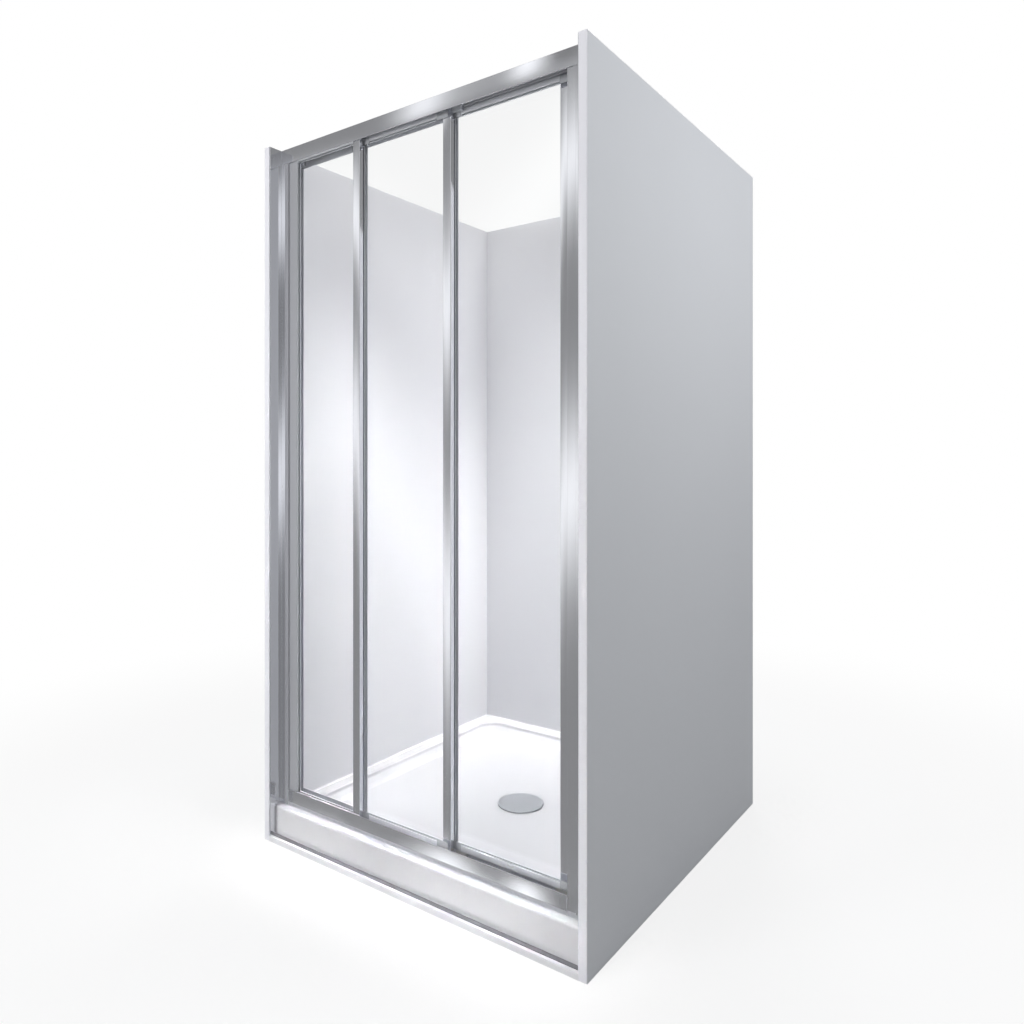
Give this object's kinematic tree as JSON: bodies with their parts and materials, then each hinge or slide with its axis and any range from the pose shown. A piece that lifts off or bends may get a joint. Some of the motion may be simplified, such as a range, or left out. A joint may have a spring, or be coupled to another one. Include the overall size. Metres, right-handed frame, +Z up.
{
  "type": "shower enclosure with sliding door",
  "caption": "Alcove shower enclosure: boarded walls round a low tray with a central waste, closed by a framed glass front whose door and middle panel slide behind a fixed panel.",
  "frame": {"origin": "on the floor, in the middle of the plan", "axes": "+X to the right along the glass front, +Y from the front to the back wall, +Z up"},
  "size_m": [1.02, 1, 1.9],
  "materials": {
    "wall_board": "satin grey laminate on moisture-resistant board",
    "floor_board": "white laminate on moisture-resistant board",
    "edge_band": "white edge banding",
    "acrylic_lining": "gloss white acrylic",
    "acrylic_tray": "gloss white acrylic",
    "foam": "dense moulded support block",
    "silicone": "white silicone",
    "timber": "beech",
    "steel": "stainless steel",
    "waste_plastic": "moulded white plastic",
    "waste_metal": "satin chrome",
    "gasket_rubber": "grey vinyl and rubber",
    "dark_trim": "dark satin",
    "polished_aluminium": "bright polished",
    "safety_glass": "clear toughened glass",
    "magnet_strip": "magnetic strip in pale vinyl",
    "nylon": "nylon",
    "grey_plastic": "moulded grey plastic",
    "carrier_steel": "pressed stainless steel"
  },
  "bodies": {
    "enclosure": {"back_liner": "acrylic_lining", "back_wall": "wall_board", "channel_screws": "steel", "closing_jamb": "polished_aluminium", "dowels": "timber", "edge_bands": "edge_band", "fixed_bottom_rail": "polished_aluminium", "fixed_gasket": "gasket_rubber", "fixed_glass": "safety_glass", "fixed_inner_stile": "polished_aluminium", "fixed_outer_stile": "polished_aluminium", "fixed_top_rail": "polished_aluminium", "fixed_wiper": "gasket_rubber", "floor_panel": "floor_board", "head_rail": "polished_aluminium", "jamb_magnet": "magnet_strip", "left_channel": "polished_aluminium", "left_liner": "acrylic_lining", "left_wall": "wall_board", "plinth_trim": "dark_trim", "right_channel": "polished_aluminium", "right_liner": "acrylic_lining", "right_wall": "wall_board", "rim_seal": "silicone", "sill_rail": "polished_aluminium", "sill_seal": "silicone", "track_buffers": "gasket_rubber", "tray": "acrylic_tray", "tray_support": "foam", "waste_body": "waste_plastic", "waste_cover": "waste_metal", "waste_gasket": "gasket_rubber", "waste_nut": "waste_plastic"},
    "door": {"door_axles": "steel", "door_bottom_rail": "polished_aluminium", "door_carriers": "carrier_steel", "door_corner_plates": "grey_plastic", "door_gasket": "gasket_rubber", "door_glass": "safety_glass", "door_guides": "nylon", "door_leading_stile": "polished_aluminium", "door_magnet": "magnet_strip", "door_top_rail": "polished_aluminium", "door_trailing_stile": "polished_aluminium"},
    "middle_panel": {"middle_axles": "steel", "middle_bottom_rail": "polished_aluminium", "middle_carriers": "carrier_steel", "middle_corner_plates": "grey_plastic", "middle_gasket": "gasket_rubber", "middle_glass": "safety_glass", "middle_guides": "nylon", "middle_inner_stile": "polished_aluminium", "middle_outer_stile": "polished_aluminium", "middle_top_rail": "polished_aluminium", "middle_wiper": "gasket_rubber"},
    "door_left_roller_wheel": {"door_left_roller": "nylon"},
    "door_right_roller_wheel": {"door_right_roller": "nylon"},
    "middle_left_roller_wheel": {"middle_left_roller": "nylon"},
    "middle_right_roller_wheel": {"middle_right_roller": "nylon"}
  },
  "joints": [
    {"name": "door_slide", "type": "slide", "parent": "enclosure", "child": "door", "axis": [-1, 0, 0], "range_m": [0, 0.529]},
    {"name": "middle_slide", "type": "slide", "parent": "enclosure", "child": "middle_panel", "axis": [-1, 0, 0], "range_m": [0, 0.24]},
    {"name": "door_left_spin", "type": "hinge", "parent": "door", "child": "door_left_roller_wheel", "pos_m": [0.123, -0.422, 1.8823], "axis": [0, -1, 0], "range_deg": [0, 3790]},
    {"name": "door_right_spin", "type": "hinge", "parent": "door", "child": "door_right_roller_wheel", "pos_m": [0.4015, -0.422, 1.8823], "axis": [0, -1, 0], "range_deg": [0, 3790]},
    {"name": "middle_left_spin", "type": "hinge", "parent": "middle_panel", "child": "middle_left_roller_wheel", "pos_m": [-0.166, -0.4385, 1.8823], "axis": [0, -1, 0], "range_deg": [0, 1720]},
    {"name": "middle_right_spin", "type": "hinge", "parent": "middle_panel", "child": "middle_right_roller_wheel", "pos_m": [0.067, -0.4385, 1.8823], "axis": [0, -1, 0], "range_deg": [0, 1720]}
  ],
  "couplings": [
    {"joint": "middle_slide", "follows": "door_slide", "ratio": 0.45369},
    {"joint": "door_left_spin", "follows": "door_slide", "rad_per_m": 125},
    {"joint": "door_right_spin", "follows": "door_slide", "rad_per_m": 125},
    {"joint": "middle_left_spin", "follows": "door_slide", "rad_per_m": 56.711},
    {"joint": "middle_right_spin", "follows": "door_slide", "rad_per_m": 56.711}
  ]
}
